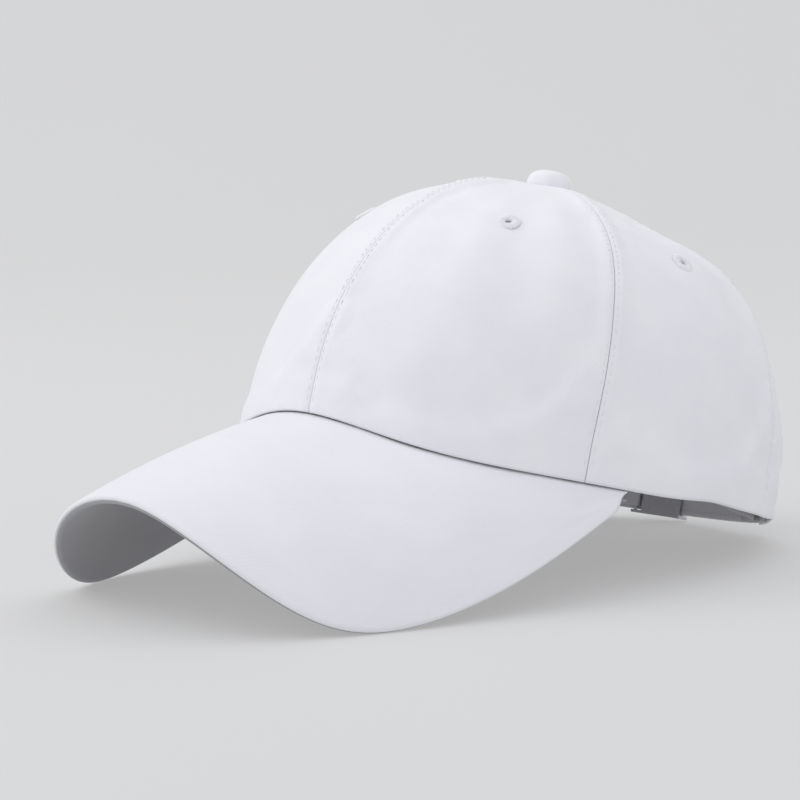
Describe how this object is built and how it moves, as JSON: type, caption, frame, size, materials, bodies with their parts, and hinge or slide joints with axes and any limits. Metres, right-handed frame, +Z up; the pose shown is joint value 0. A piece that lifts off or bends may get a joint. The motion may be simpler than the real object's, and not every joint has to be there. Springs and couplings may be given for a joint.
{
  "type": "baseball cap",
  "caption": "Low soft cap of pale twill with a curved brim, covered top button, embroidered eyelets and an adjustable back strap with a metal clasp buckle.",
  "frame": {"origin": "centre of the cap's bounding box, on the surface that it rests on", "axes": "+Z up, the brim points to -Y, +X is the wearer's left"},
  "size_m": [0.1696, 0.2648, 0.1306],
  "materials": {
    "crown_twill": "pale grey-white cotton twill",
    "brim_twill": "pale grey-white cotton twill over a board",
    "underbrim_twill": "grey cotton twill under the board",
    "eyelet_thread": "satin-stitched thread",
    "seam_tape": "folded cotton tape",
    "sweatband_cloth": "soft cotton band",
    "strap_cloth": "doubled cotton twill strap",
    "brim_board": "flexible plastic board",
    "button_metal": "pressed sheet",
    "buckle_metal": "nickel-coloured, satin"
  },
  "bodies": {
    "cap": {"front_panel_left": "crown_twill", "front_panel_right": "crown_twill", "side_panel_left": "crown_twill", "side_panel_right": "crown_twill", "back_panel_left": "crown_twill", "back_panel_right": "crown_twill", "eyelet_front_left": "eyelet_thread", "eyelet_front_right": "eyelet_thread", "eyelet_side_left": "eyelet_thread", "eyelet_side_right": "eyelet_thread", "eyelet_back_left": "eyelet_thread", "eyelet_back_right": "eyelet_thread", "seam_tape_front": "seam_tape", "seam_tape_front_side_left": "seam_tape", "seam_tape_front_side_right": "seam_tape", "seam_tape_side_back_left": "seam_tape", "seam_tape_side_back_right": "seam_tape", "seam_tape_back": "seam_tape", "opening_binding": "seam_tape", "sweatband": "sweatband_cloth", "brim_top_cover": "brim_twill", "brim_board": "brim_board", "brim_under_cover": "underbrim_twill", "button_cover": "crown_twill", "button_shell": "button_metal", "button_post": "button_metal", "button_washer": "button_metal", "buckle_loop": "strap_cloth", "buckle_frame": "buckle_metal", "buckle_pin": "buckle_metal"},
    "strap": {"strap": "strap_cloth"},
    "clasp": {"buckle_lever": "buckle_metal"}
  },
  "joints": [
    {"name": "strap_draw", "type": "hinge", "parent": "cap", "child": "strap", "pos_m": [0, 0.05557, 0.03009], "axis": [0, 0.258, 0.9662], "range_deg": [-8, 8]},
    {"name": "clasp_swing", "type": "hinge", "parent": "cap", "child": "clasp", "pos_m": [-0.00842, 0.12549, 0.00211], "axis": [0, -0.258, -0.9662], "range_deg": [0, 110]}
  ]
}
